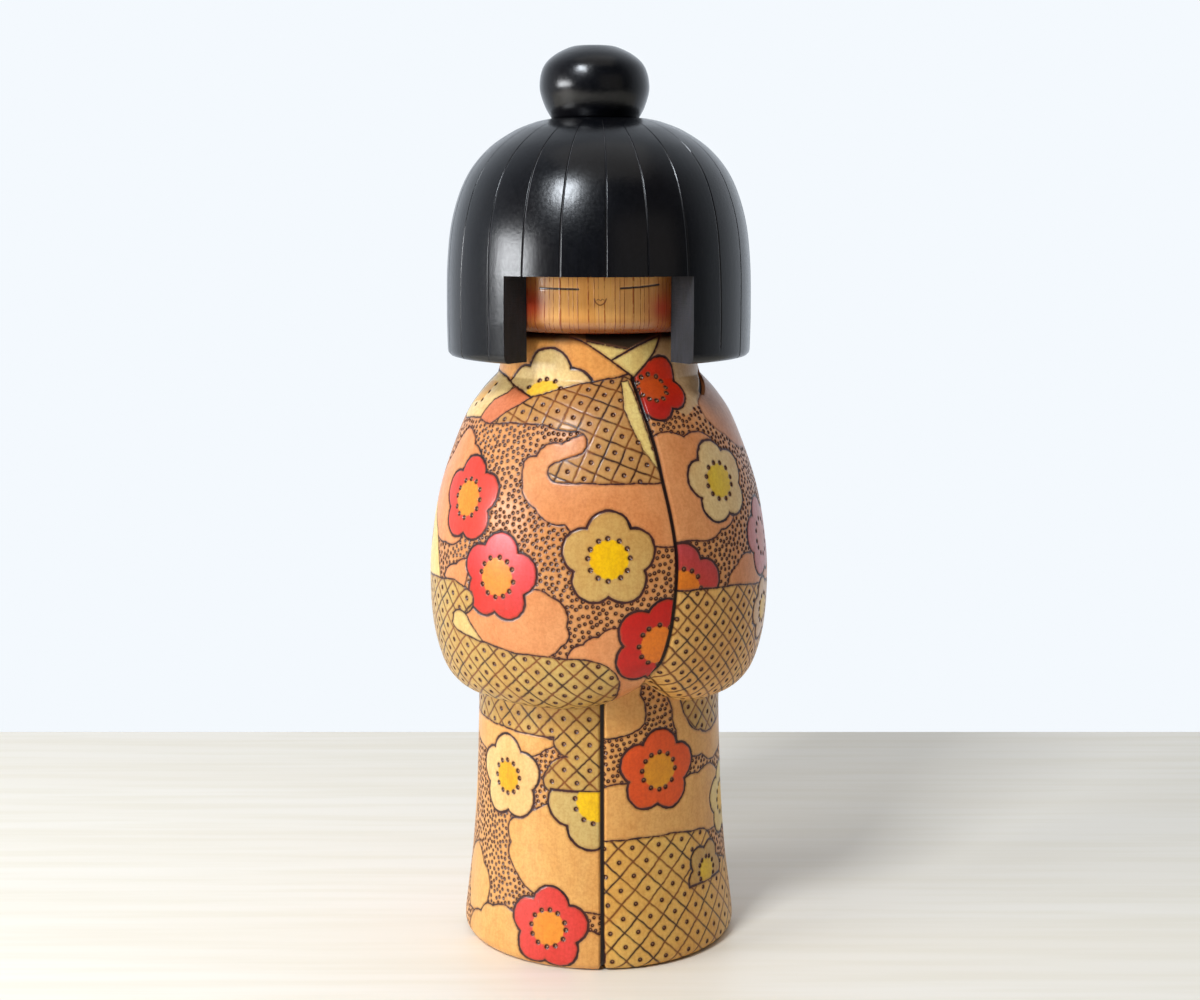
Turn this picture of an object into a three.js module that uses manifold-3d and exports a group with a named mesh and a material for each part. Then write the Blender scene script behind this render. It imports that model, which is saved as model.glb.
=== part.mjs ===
// A creative (sosaku) kokeshi doll one shaku tall: a turned and carved wooden doll in a kimono, with a bob of
// black-dyed hair and a topknot. Millimetres, +Z up, front towards -Y, origin at the centre of the base.
// The head, hair and topknot turn together on the neck peg.
import * as THREE from "three";
import { mergeVertices } from "three/addons/utils/BufferGeometryUtils.js";
import Module from "manifold-3d";

const wasm = await Module();
wasm.setup();

// Driving dimensions.
const HEIGHT = 303; // one shaku, the traditional large size
const GAP = 0.3; // between neighbouring pieces
const FINE = 64; // sides of the large turned pieces
const COARSE = 40; // sides of the small turned pieces

const BASE_R = 44.5; // flat face that the doll stands on
const SKIRT_R = 41.7; // waist of the skirt, where it enters the jacket
const SKIRT_TOP_Z = 104; // shoulder of the skirt inside the jacket
const HEM_Z = 88.6; // lowest point of the sleeves
const HEM_R = 44.8; // inner edge of the rounded hem
const HEM_NOTCH = 8.8; // how far the hem rises where the two sleeves meet
const NOTCH_ANGLE = 20; // degrees to the doll's left of the front
const NOTCH_WIDE = 15.5; // degrees that the overlapping sleeve takes to rise
const NOTCH_STEEP = 10.5; // degrees that the sleeve beneath takes to fall
const NOTCH_POINT = 1.3; // 1 comes to a sharp point and 2 is round
const HEM_BLEND_Z = 112; // height above which the hem's rise has faded

const NECK_R = 33; // chest column, which rises inside the hair
const NECK_TOP_Z = 210.2;
const HEAD_R = 39.2;
const HEAD_TOP_Z = 250.4;
const CHIN_ROUND = 4.5; // radius of the chin's edge

const HAIR_R = 51.2;
const HAIR_BOTTOM_Z = 201.3;
const CAVITY_R = HEAD_R + GAP;
const SEAT_R = 16.4; // flat on the crown that the topknot stands on
const SEAT_Z = 279.3;
const WINDOW_TOP_Z = 229.2;
const WINDOW_HALF_ANGLE = 36; // degrees either side of the front, cut radially

const BUN_FOOT_R = 14.4;
const BUN_R = 18.2;
const BUN_OFFSET_X = -1.2; // the topknot is glued a little off centre
const BUN_LEAN = 1.2; // degrees, towards the doll's right

const WAIST_DOWEL = { r: 10, from: 86, to: 122 };
const NECK_PEG = { r: 8, from: 186, to: 232 };
const BUN_DOWEL = { r: 4, from: -14, to: 12 }; // measured from the topknot's foot

const degrees = (angle) => (angle * Math.PI) / 180;
const point = (r, z) => new THREE.Vector2(r, z);

// Points along a quarter circle of radius r, from one angle to the other.
function arc(centreR, centreZ, r, from, to, steps) {
  return Array.from({ length: steps + 1 }, (_, i) => {
    const a = degrees(from + ((to - from) * i) / steps);
    return point(centreR + r * Math.cos(a), centreZ + r * Math.sin(a));
  });
}

// A smooth outline through a few points, sampled evenly.
function smooth(points, steps) {
  return new THREE.SplineCurve(points).getPoints(steps);
}

// A solid of revolution about +Z. The profile runs upwards, and angle 0 faces -Y.
function turned(profile, sides) {
  return new THREE.LatheGeometry(profile, sides).rotateX(Math.PI / 2);
}

function cylinder(r, from, to, sides = COARSE) {
  return turned([point(0, from), point(r, from), point(r, to), point(0, to)], sides);
}

// A prism from z 'from' to z 'to' over the window's wedge, wider than the hair.
function wedge(halfAngle, reach, from, to) {
  const half = reach * Math.tan(degrees(halfAngle));
  const outline = new THREE.Shape([point(0, 0), point(half, -reach), point(-half, -reach)].reverse());
  const prism = new THREE.ExtrudeGeometry(outline, { depth: to - from, bevelEnabled: false });
  return prism.translate(0, 0, from);
}

function solid(geometry) {
  const bare = geometry.clone();
  bare.deleteAttribute("normal");
  bare.deleteAttribute("uv");
  const merged = mergeVertices(bare, 1e-4);
  const vertProperties = new Float32Array(merged.attributes.position.array);
  const triVerts = new Uint32Array(merged.index.array);
  return new wasm.Manifold(new wasm.Mesh({ numProp: 3, vertProperties, triVerts }));
}

function geometryOf(manifold) {
  const made = manifold.getMesh();
  const geometry = new THREE.BufferGeometry();
  geometry.setAttribute("position", new THREE.BufferAttribute(new Float32Array(made.vertProperties), 3));
  geometry.setIndex(new THREE.BufferAttribute(new Uint32Array(made.triVerts), 1));
  geometry.computeVertexNormals();
  return geometry;
}

function cut(geometry, ...cutters) {
  return geometryOf(cutters.reduce((whole, cutter) => whole.subtract(solid(cutter)), solid(geometry)));
}

// How far the hem is lifted at an angle from the front: a long rise, then a steep fall.
function hemLift(angle) {
  const past = angle - NOTCH_ANGLE;
  const reach = past < 0 ? NOTCH_WIDE : NOTCH_STEEP;
  return HEM_NOTCH * Math.exp(-(Math.abs(past / reach) ** NOTCH_POINT));
}

function skirtGeometry() {
  const profile = [
    point(0, 0),
    point(BASE_R, 0),
    ...arc(BASE_R - 0.8, 3.5, 3.5, -60, 0, 3),
    ...smooth([point(47.1, 6), point(46, 15), point(44.3, 29), point(42.7, 51), point(SKIRT_R, 80)], 10),
    point(SKIRT_R, SKIRT_TOP_Z),
    point(0, SKIRT_TOP_Z),
  ];
  return cut(turned(profile, FINE), cylinder(WAIST_DOWEL.r + GAP, WAIST_DOWEL.from - GAP, SKIRT_TOP_Z + 1));
}

function jacketGeometry() {
  const sleeve = [
    point(HEM_R, HEM_Z),
    point(49.8, 91.2),
    point(53.9, 97.4),
    point(56.9, 109),
    point(57.9, 123),
    point(57.2, 138),
    point(53.6, 158),
    point(46, 179),
    point(40.2, 188.6),
    point(34.2, 195.2),
  ];
  const profile = [
    point(0, HEM_Z),
    ...smooth(sleeve, 26),
    point(33.3, 199),
    ...arc(NECK_R - 2.5, NECK_TOP_Z - 2.5, 2.5, 0, 90, 3),
    point(0, NECK_TOP_Z),
  ];
  const shape = turned(profile, FINE);
  const at = shape.attributes.position;
  for (let i = 0; i < at.count; i++) {
    const angle = (Math.atan2(at.getX(i), -at.getY(i)) * 180) / Math.PI;
    const fade = THREE.MathUtils.smoothstep(HEM_BLEND_Z - at.getZ(i), 0, HEM_BLEND_Z - HEM_Z);
    if (Math.hypot(at.getX(i), at.getY(i)) > 1) at.setZ(i, at.getZ(i) + fade * hemLift(angle));
  }
  return cut(
    shape,
    cylinder(SKIRT_R + GAP, HEM_Z - 2, SKIRT_TOP_Z + GAP, FINE),
    cylinder(WAIST_DOWEL.r + GAP, SKIRT_TOP_Z, WAIST_DOWEL.to + GAP),
    cylinder(NECK_PEG.r + GAP, NECK_PEG.from - GAP, NECK_TOP_Z + 1),
  );
}

function headGeometry() {
  const bottom = NECK_TOP_Z + GAP;
  const profile = [
    point(0, bottom),
    ...arc(HEAD_R - CHIN_ROUND, bottom + CHIN_ROUND, CHIN_ROUND, -90, 0, 5),
    point(HEAD_R, HEAD_TOP_Z - 2),
    point(HEAD_R - 2, HEAD_TOP_Z),
    point(0, HEAD_TOP_Z),
  ];
  return cut(turned(profile, FINE), cylinder(NECK_PEG.r + GAP, bottom - 1, NECK_PEG.to + GAP));
}

function hairGeometry() {
  const crown = [
    point(HAIR_R, 214),
    point(50.8, 232),
    point(48.9, 247),
    point(44.3, 260),
    point(37.2, 269.2),
    point(28.2, 275.4),
    point(SEAT_R + 4, 278.5),
  ];
  const profile = [
    point(0, HAIR_BOTTOM_Z),
    ...arc(HAIR_R - 2.2, HAIR_BOTTOM_Z + 2, 2, -90, 0, 3),
    ...smooth(crown, 18),
    point(SEAT_R, SEAT_Z),
    point(0, SEAT_Z),
  ];
  const socket = cylinder(BUN_DOWEL.r + GAP, BUN_DOWEL.from - GAP, 5).applyMatrix4(bunPlace().matrix);
  return cut(
    turned(profile, FINE),
    cylinder(CAVITY_R, HAIR_BOTTOM_Z - 1, HEAD_TOP_Z + GAP, FINE),
    wedge(WINDOW_HALF_ANGLE, HAIR_R + 10, HAIR_BOTTOM_Z - 1, WINDOW_TOP_Z),
    socket,
  );
}

// The topknot, with its foot at z 0.
function bunGeometry() {
  const top = HEIGHT - bunPlace().position.z;
  const side = [
    point(BUN_FOOT_R, 0),
    point(16.6, 4),
    point(BUN_R, 10),
    point(17, 16.4),
    point(13.4, 20.4),
    point(7.6, top - 0.4),
  ];
  const profile = [point(0, 0), ...smooth(side, 14), point(0, top)];
  return cut(turned(profile, COARSE), cylinder(BUN_DOWEL.r + GAP, -1, BUN_DOWEL.to + GAP));
}

// Where the topknot and its dowel stand: off centre and leaning, clear of the seat all round.
function bunPlace() {
  const place = new THREE.Group();
  const clear = BUN_FOOT_R * Math.sin(degrees(BUN_LEAN)) + GAP;
  place.position.set(BUN_OFFSET_X, 0, SEAT_Z + clear);
  place.rotation.y = degrees(-BUN_LEAN);
  place.updateMatrix();
  return place;
}

// Materials.
const kimonoWood = new THREE.MeshStandardMaterial({ color: 0xd9a866, roughness: 0.42, metalness: 0 });
const faceWood = new THREE.MeshStandardMaterial({ color: 0xd8a263, roughness: 0.38, metalness: 0 });
const dyedWood = new THREE.MeshStandardMaterial({ color: 0x17161a, roughness: 0.35, metalness: 0 });
const dowelWood = new THREE.MeshStandardMaterial({ color: 0xcfa878, roughness: 0.7, metalness: 0 });

function piece(name, geometry, material) {
  const mesh = new THREE.Mesh(geometry, material);
  mesh.name = name;
  return mesh;
}

const doll = new THREE.Group();
doll.add(
  piece("skirt_block", skirtGeometry(), kimonoWood),
  piece("jacket_block", jacketGeometry(), kimonoWood),
  piece("waist_dowel", cylinder(WAIST_DOWEL.r, WAIST_DOWEL.from, WAIST_DOWEL.to), dowelWood),
  piece("neck_peg", cylinder(NECK_PEG.r, NECK_PEG.from, NECK_PEG.to), dowelWood),
);

const turningHead = new THREE.Group();
turningHead.add(
  piece("head_block", headGeometry(), faceWood),
  piece("hair_cap", hairGeometry(), dyedWood),
);
const topknot = bunPlace();
topknot.add(
  piece("topknot", bunGeometry(), dyedWood),
  piece("topknot_dowel", cylinder(BUN_DOWEL.r, BUN_DOWEL.from, BUN_DOWEL.to), dowelWood),
);
turningHead.add(topknot);
doll.add(turningHead);

export default doll;
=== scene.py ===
"""A creative kokeshi doll: the finished surfaces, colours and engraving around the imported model.

Lengths are doll millimetres, scaled to metres by MM, and angles are degrees from the front of the doll,
positive towards +X. A place on a block's side is an angle and a height, as (angle, height).
"""
import math

import bpy
import numpy as np
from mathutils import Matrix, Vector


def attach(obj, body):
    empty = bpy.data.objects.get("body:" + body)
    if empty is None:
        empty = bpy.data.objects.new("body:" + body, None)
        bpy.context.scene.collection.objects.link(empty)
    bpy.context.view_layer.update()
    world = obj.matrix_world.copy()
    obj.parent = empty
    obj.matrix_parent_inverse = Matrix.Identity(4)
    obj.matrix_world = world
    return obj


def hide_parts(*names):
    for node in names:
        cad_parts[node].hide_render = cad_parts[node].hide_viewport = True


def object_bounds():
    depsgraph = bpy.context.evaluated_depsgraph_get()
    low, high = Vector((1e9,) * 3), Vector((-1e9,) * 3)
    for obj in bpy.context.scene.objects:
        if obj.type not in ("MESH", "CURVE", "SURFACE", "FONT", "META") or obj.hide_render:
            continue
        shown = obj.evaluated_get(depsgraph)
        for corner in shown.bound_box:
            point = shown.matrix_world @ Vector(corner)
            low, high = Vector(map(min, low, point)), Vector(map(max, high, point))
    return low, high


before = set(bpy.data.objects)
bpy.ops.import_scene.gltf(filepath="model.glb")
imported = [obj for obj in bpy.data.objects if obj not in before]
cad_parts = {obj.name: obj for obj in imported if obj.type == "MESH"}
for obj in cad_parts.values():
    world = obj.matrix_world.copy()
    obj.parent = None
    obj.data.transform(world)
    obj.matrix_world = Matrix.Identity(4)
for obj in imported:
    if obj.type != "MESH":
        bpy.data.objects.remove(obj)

cad_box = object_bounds()
HEIGHT = 303
MM = (cad_box[1].z - cad_box[0].z) / HEIGHT
SHARP_ANGLE = 62  # between faces, from which an edge stays crisp

rng = np.random.default_rng(7)


# ---- outlines and turned shapes

def arc(centre_r, centre_z, radius, start, end, steps=10):
    """Points along an arc in the (radius, height) plane."""
    turns = np.radians(np.linspace(start, end, steps + 1))
    return [(centre_r + radius * math.cos(a), centre_z + radius * math.sin(a)) for a in turns]


def spline(points, steps=240):
    """A Catmull-Rom curve through the points, as the CAD outlines use."""
    knots = np.array([points[0], *points, points[-1]], float)
    curve = []
    for t in np.linspace(0, len(points) - 1, steps + 1):
        i = min(int(t), len(points) - 2)
        w = t - i
        p0, p1, p2, p3 = knots[i:i + 4]
        v0, v1 = (p2 - p0) / 2, (p3 - p1) / 2
        cubic = 2 * p1 - 2 * p2 + v0 + v1
        square = 3 * p2 - 3 * p1 - 2 * v0 - v1
        curve.append(cubic * w**3 + square * w**2 + v0 * w + p1)
    return [tuple(p) for p in curve]


def lengths(points):
    """Distance along a line of points to each of them."""
    steps = np.hypot(*np.diff(np.array(points, float), axis=0).T)
    return np.concatenate([[0], np.cumsum(steps)])


def evenly(points, step):
    """The same line with its points a step apart."""
    points = np.array(points, float)
    along = lengths(points)
    at = np.linspace(0, along[-1], max(1, round(along[-1] / step)) + 1)
    return np.column_stack([np.interp(at, along, points[:, k]) for k in (0, 1)])


def slopes(points):
    """The direction of a line at each of its points."""
    slope = np.gradient(points, axis=0)
    return slope / np.hypot(*slope.T)[:, None]


def around(columns):
    """Evenly spaced angles for the columns of a turned surface."""
    return np.arange(columns) * 360 / columns - 180


def wrap(angle):
    return (np.asarray(angle) + 180) % 360 - 180


def revolve(rings, angles):
    """Grids of radius, angle and height for (radius, height) rings."""
    radius, height = np.repeat(np.array(rings, float).T[:, :, None], len(angles), axis=2)
    return radius, np.broadcast_to(angles, radius.shape), height


def points_of(radius, angle, height):
    """Corners in metres from grids of radius, angle and height."""
    turn = np.radians(angle)
    return np.stack([radius * np.sin(turn), -radius * np.cos(turn), height], -1).reshape(-1, 3) * MM


def add_mesh(name, corners, quads, fans=(), ngons=()):
    """A smooth-shaded mesh object from numpy corners, quads, triangles and a few larger faces."""
    quads = np.asarray(quads, np.int32).reshape(-1, 4)
    fans = np.asarray(fans, np.int32).reshape(-1, 3)
    loops = np.concatenate([quads.ravel(), fans.ravel(), *[np.asarray(n, np.int32) for n in ngons]])
    sizes = np.array([4] * len(quads) + [3] * len(fans) + [len(n) for n in ngons])
    mesh = bpy.data.meshes.new(name)
    mesh.vertices.add(len(corners))
    mesh.vertices.foreach_set("co", np.asarray(corners, np.float32).ravel())
    mesh.loops.add(len(loops))
    mesh.loops.foreach_set("vertex_index", loops)
    mesh.polygons.add(len(sizes))
    mesh.polygons.foreach_set("loop_start", (np.cumsum(sizes) - sizes).astype(np.int32))
    mesh.update(calc_edges=True)
    mesh.validate()
    mesh.shade_smooth()
    mesh.set_sharp_from_angle(angle=math.radians(SHARP_ANGLE))
    piece = bpy.data.objects.new(name, mesh)
    bpy.context.scene.collection.objects.link(piece)
    return piece


def grid_quads(rows, columns):
    """Quads of a grid that closes on itself sideways. The outline runs upwards on the outside."""
    row, column = np.meshgrid(np.arange(rows - 1), np.arange(columns), indexing="ij")
    right = (column + 1) % columns
    return np.stack([row * columns + column, row * columns + right,
                     (row + 1) * columns + right, (row + 1) * columns + column], -1)


def close_poles(rings, columns):
    """Triangles from the first and last rings to the two corners on the axis, which follow the grid."""
    column = np.arange(columns)
    right = (column + 1) % columns
    first, last, top_row = rings * columns, rings * columns + 1, (rings - 1) * columns
    bottom = np.stack([np.full(columns, first), right, column], -1)
    top = np.stack([top_row + column, top_row + right, np.full(columns, last)], -1)
    return np.concatenate([bottom, top])


def with_poles(corners, pole_heights):
    """The corners of a grid, followed by the two on the axis."""
    return np.concatenate([corners, np.array([(0, 0, z) for z in pole_heights]) * MM])


def turned(name, radius, angle, height, pole_heights):
    """A closed turned piece from grids of radius, angle and height, with its ends on the axis."""
    corners = with_poles(points_of(radius, angle, height), pole_heights)
    return add_mesh(name, corners, grid_quads(*radius.shape), close_poles(*radius.shape))


def store(piece, name, values):
    """Keeps one number or one colour for each corner. The corners on the axis take the last value."""
    values = np.asarray(values, np.float32)
    colour = values.shape[-1] == 4 and values.ndim > 1
    values = values.reshape(-1, 4) if colour else values.reshape(-1)
    missing = len(piece.data.vertices) - len(values)
    values = np.concatenate([values, np.repeat(values[-1:], missing, axis=0)])
    kind, field = ("FLOAT_COLOR", "color") if colour else ("FLOAT", "value")
    piece.data.attributes.new(name, kind, "POINT").data.foreach_set(field, values.ravel())


# ---- the painted side of a block

FAR = 9.0  # beyond the reach of any mark
THIN, BOLD = 0.26, 0.42  # half widths of the burnt outlines of clouds and of blossoms
STEP = 0.34  # between the rows of the grid

# Ripples in every drawn line: size and wavelength along the side, and then waves round it and phase.
RIPPLES = ((0.1, 14), (0.06, -6.1), (0.05, 2.9))
ACROSS_TURNS = ((19, 0.3), (43, 2.1), (83, 4.4))
ALONG_TURNS = ((23, 1.2), (39, 3.3), (77, 5.2))

# Parts of a blossom, as shares of its radius.
PETAL_OUT, PETAL, PETAL_VARIES, CORE = 0.53, 0.47, 0.015, 0.6
DOT_RING, HEART_INSET, NOTCH = 0.44, 0.03, 0.79

LATTICE_DOT, HEART_DOT, NOTCH_DOT = 0.8, 0.85, 0.5  # radii of the burnt dots
DOT_REACH = 1.4  # how far a dot's mark goes, in its radii
DOT_DEPTH = 0.7  # a dot's depth, in its radii
TRIES = 14  # places tried for each gap squared of a stippled side


def linear(colour):
    """Linear values of an sRGB colour given as 0 to 255."""
    c = np.array(colour, float) / 255
    return np.where(c <= 0.04045, c / 12.92, ((c + 0.055) / 1.055) ** 2.4)


def middle(places, centre):
    """The angle given, or else the mean angle of the places."""
    return np.mean([p[0] for p in places]) if centre is None else centre


def bow(start, end, swell, steps=8):
    """An arc from start towards end, without its end. Swell is its rise to the right over half the chord."""
    chord = end - start
    if abs(swell) < 0.01:
        return [start]
    theta = 4 * math.atan(swell)
    reach = np.hypot(*chord) / 2
    radius = reach / math.sin(theta / 2)
    forward, right = chord / (2 * reach), np.array([chord[1], -chord[0]]) / (2 * reach)
    turns = theta * (np.arange(steps) / steps - 0.5)
    return [start + forward * (reach + radius * math.sin(a))
            + right * radius * (math.cos(a) - math.cos(theta / 2)) for a in turns]


def distance_to_line(u, v, line):
    """Distance from each (u, v) to an open line of points."""
    best = np.full(np.shape(u), np.inf)
    for (ax, ay), (bx, by) in zip(line[:-1], line[1:]):
        ex, ey = bx - ax, by - ay
        t = np.clip(((u - ax) * ex + (v - ay) * ey) / (ex * ex + ey * ey + 1e-12), 0, 1)
        best = np.minimum(best, (u - ax - t * ex) ** 2 + (v - ay - t * ey) ** 2)
    return np.sqrt(best)


def inside_outline(u, v, outline):
    """Whether each (u, v) lies inside a closed line of points."""
    inside = np.zeros(np.shape(u), bool)
    for (ax, ay), (bx, by) in zip(outline, np.roll(outline, -1, axis=0)):
        if ay != by:
            inside ^= ((ay > v) != (by > v)) & (u < ax + (v - ay) * (bx - ax) / (by - ay))
    return inside


def dish(x):
    """A smooth hollow: 1 in the middle and 0 from x = 1 on."""
    return np.clip(1 - np.clip(x, 0, None) ** 2, 0, 1) ** 1.5


class Side:
    """The outer side of a block: a grid of points on which motifs are drawn, painted and engraved.

    A level is a distance along the side, which follows the lift of the hem where there is one.
    """

    def __init__(self, outline, columns, ground, lift=lambda angle, height: 0 * angle):
        self.r, self.z = outline.T
        self.along = lengths(outline)
        slope = slopes(outline)
        self.out_r, self.out_z = slope[:, 1], -slope[:, 0]
        self.angle = around(columns)
        shape = (len(self.r), columns)
        self.angles = np.broadcast_to(self.angle, shape)
        self.radii = np.broadcast_to(self.r[:, None], shape)
        self.heights = self.z[:, None] + lift(self.angles, self.z[:, None])
        steps = np.hypot(np.diff(self.radii, axis=0), np.diff(self.heights, axis=0))
        from_top = np.cumsum(steps[::-1], axis=0)[::-1]
        self.levels = self.along[-1] - np.vstack([from_top, np.zeros((1, columns))])
        self.across_shift, self.along_shift = self.ripple(ACROSS_TURNS), self.ripple(ALONG_TURNS)
        self.colour = np.tile(linear(ground), shape + (1,))
        self.covered = np.zeros(shape, bool)
        self.line, self.mesh_line, self.groove, self.pit = (np.full(shape, FAR) for _ in range(4))
        self.pit_radius = np.zeros(shape)
        self.dots = []

    def ripple(self, turns):
        """Small smooth shifts that make the lines look drawn by hand."""
        return sum(size * np.sin(np.radians(self.angles) * count + self.levels * 2 * math.pi / wave + phase)
                   for (size, wave), (count, phase) in zip(RIPPLES, turns))

    def level(self, height):
        return np.interp(height, self.z, self.along)

    def radius(self, level):
        return np.interp(level, self.along, self.r)

    def flat(self, places, centre):
        """Flat (u, v) millimetres about a meridian for (angle, height) places."""
        places = np.array(places, float)
        v = self.level(places[:, 1])
        return np.column_stack([np.radians(places[:, 0] - centre) * self.radius(v), v])

    def window(self, centre, half_width, low, high, steady=False):
        """The part of the grid near a motif, with its flat (u, v), which wavers unless it is steady."""
        rows = np.flatnonzero((self.levels.max(1) >= low) & (self.levels.min(1) <= high))
        columns = np.flatnonzero(np.abs(wrap(self.angle - centre)) <= half_width)
        part = np.ix_(rows, columns)
        u = np.radians(wrap(self.angles[part] - centre)) * self.radii[part]
        if steady:
            return part, u, self.levels[part]
        return part, u + self.across_shift[part], self.levels[part] + self.along_shift[part]

    def window_round(self, path, centre, margin, steady=False):
        """The window that holds a flat line of points and a margin."""
        half_width = np.degrees(np.abs(path[:, 0]).max() / self.radius(path[:, 1]).min()) + 6
        return self.window(centre, half_width, path[:, 1].min() - margin, path[:, 1].max() + margin, steady)

    def around_outline(self, outline, centre, clip):
        """The part of the grid near an outline of (angle, height, swell), and the signed distance from it.

        A side with a swell is an arc that bulges outwards, or inwards where it is negative.
        """
        corners = self.flat([p[:2] for p in outline], centre)
        ahead = np.roll(corners, -1, axis=0)
        outward = np.sign(np.sum(corners[:, 0] * ahead[:, 1] - ahead[:, 0] * corners[:, 1]))
        path = np.array([q for start, end, p in zip(corners, ahead, outline)
                         for q in bow(start, end, outward * p[2] if len(p) > 2 else 0)])
        part, u, v = self.window_round(path, centre, 4)
        away = distance_to_line(u, v, np.vstack([path, path[:1]]))
        distance = np.where(inside_outline(u, v, path), -away, away)
        return part, u, v, self.clipped(part, distance, clip)

    def clipped(self, part, distance, clip):
        """Keeps a shape to where a limit given for the whole grid is negative."""
        return distance if clip is None else np.maximum(distance, clip[part])

    def paint(self, part, distance, colour, half_width=THIN):
        """Covers what lies inside a shape, and burns its outline."""
        inside = distance < 0
        self.colour[part] = np.where(inside[..., None], colour, self.colour[part])
        self.covered[part] |= inside
        self.line[part] = np.maximum(self.line[part], -distance)
        if half_width > 0:
            self.line[part] = np.minimum(self.line[part], np.abs(distance) - half_width)
        for field in (self.mesh_line, self.groove):
            field[part] = np.where(inside, FAR, field[part])
        self.dots = [dot for dot in self.dots if not self.at(part, inside, *dot[:2])]

    def nearest(self, angle, level):
        """The row and column of the grid point closest to an angle and a level."""
        column = int(round((angle + 180) % 360 / 360 * len(self.angle))) % len(self.angle)
        return min(int(np.searchsorted(self.levels[:, column], level)), len(self.r) - 1), column

    def at(self, part, values, angle, level):
        """What a part of the grid holds at a place, or None outside the part."""
        row, column = self.nearest(angle, level)
        i = np.flatnonzero(part[0].ravel() == row)
        j = np.flatnonzero(part[1].ravel() == column)
        return values[i[0], j[0]] if len(i) and len(j) else None

    def cloud(self, outline, colour, centre=None, clip=None, half_width=THIN):
        """A plain scalloped cloud."""
        part, _, _, distance = self.around_outline(outline, middle(outline, centre), clip)
        self.paint(part, distance, linear(colour), half_width)

    def lattice(self, outline, colour, pitch, turn, centre=None, clip=None):
        """A band of crossed lines with a dot in each square."""
        centre = middle(outline, centre)
        part, u, v, distance = self.around_outline(outline, centre, clip)
        self.paint(part, distance, linear(colour))
        c, s = math.cos(math.radians(turn)), math.sin(math.radians(turn))
        a, b = (u * c + v * s) / pitch, (v * c - u * s) / pitch
        mesh_line = np.minimum(np.abs(a - np.round(a)), np.abs(b - np.round(b))) * pitch
        self.mesh_line[part] = np.where(distance < 0, mesh_line, self.mesh_line[part])
        for i in np.arange(np.floor(a.min()), np.ceil(a.max())) + 0.5:
            for j in np.arange(np.floor(b.min()), np.ceil(b.max())) + 0.5:
                u_dot, level = (i * c - j * s) * pitch, (i * s + j * c) * pitch
                self.add_dot(part, distance, centre, u_dot, level, LATTICE_DOT, 0.7)

    def add_dot(self, part, distance, centre, u, level, size, clearance):
        """A burnt dot beside a meridian, where a shape covers it and its outline is clear of it."""
        if self.along[0] < level < self.along[-1]:
            angle = centre + math.degrees(u / self.radius(level))
            away = self.at(part, distance, angle, level)
            if away is not None and away < -clearance:
                self.dots.append((angle, level, size))

    def flower(self, angle, height, radius, bloom, turn=0, clip=None, ring=DOT_RING):
        """A plum blossom of five round petals, with a ring of dots round its heart."""
        petals, heart, upper = bloom
        level = self.level(height)
        half_width = math.degrees(radius / self.radius(level)) * 1.35 + 6
        part, u, v = self.window(angle, half_width, level - radius - 4, level + radius + 4)
        v = v - level
        stance = np.radians(90 + turn + 72 * np.arange(5))
        sizes = radius * (PETAL + rng.uniform(-PETAL_VARIES, PETAL_VARIES, 5))
        out = radius * PETAL_OUT
        distance = np.min([np.hypot(u - out * math.cos(a), v - out * math.sin(a)) - size
                           for a, size in zip(stance, sizes)], axis=0)
        distance = np.minimum(distance, np.hypot(u, v) - radius * CORE)
        distance = self.clipped(part, distance, clip)
        blend = np.clip((u * 0.5 + v) / radius * 0.6 + 0.35, 0, 1)[..., None]
        self.paint(part, distance, petals * (1 - blend) + upper * blend, BOLD)
        within = np.hypot(u, v) - radius * (ring - HEART_INSET)
        self.paint(part, np.maximum(within, distance), heart, 0)
        turns = np.radians(turn + 90 + 30 * np.arange(12) + rng.uniform(-4, 4, 12))
        dots = [(a, ring, HEART_DOT, 0.5) for a in turns]
        dots += [(a + math.radians(36), NOTCH, NOTCH_DOT, -0.6) for a in stance[rng.random(5) < 0.6]]
        for a, share, size, clearance in dots:
            away, up = radius * share * math.cos(a), radius * share * math.sin(a)
            self.add_dot(part, distance, angle, away, level + up, size, clearance)

    def stroke(self, places, half_width, centre=None, deep=False):
        """A burnt line through (angle, height) places, or a deep carved one."""
        centre = middle(places, centre)
        path = self.flat(places, centre)
        if len(places) > 2:
            path = np.array(spline(path, 40))
        part, u, v = self.window_round(path, centre, 3, steady=True)
        field = self.groove if deep else self.line
        field[part] = np.minimum(field[part], distance_to_line(u, v, path) - half_width)

    def stipple(self, gap, size):
        """Small burnt dots, kept a gap apart, all over the ground that nothing covers."""
        bands = [np.empty((0, 2)) for _ in range(int(self.along[-1] / gap) + 2)]
        tries = int(TRIES * self.along[-1] * 2 * math.pi * self.r.max() / gap**2)
        for angle, level in rng.uniform((-180, 0), (180, self.along[-1]), (tries, 2)):
            place = self.nearest(angle, level)
            below_hem = level < self.levels[0, place[1]] + 0.6
            if self.covered[place] or self.line[place] < 0.1 or below_hem:
                continue
            band = int(level / gap)
            near = np.concatenate(bands[max(0, band - 1):band + 2])
            across = np.radians(wrap(near[:, 0] - angle)) * self.radii[place]
            if not len(near) or np.hypot(across, near[:, 1] - level).min() > gap:
                bands[band] = np.vstack([bands[band], (angle, level)])
                self.dots.append((angle, level, size * rng.uniform(0.9, 1.1)))

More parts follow.
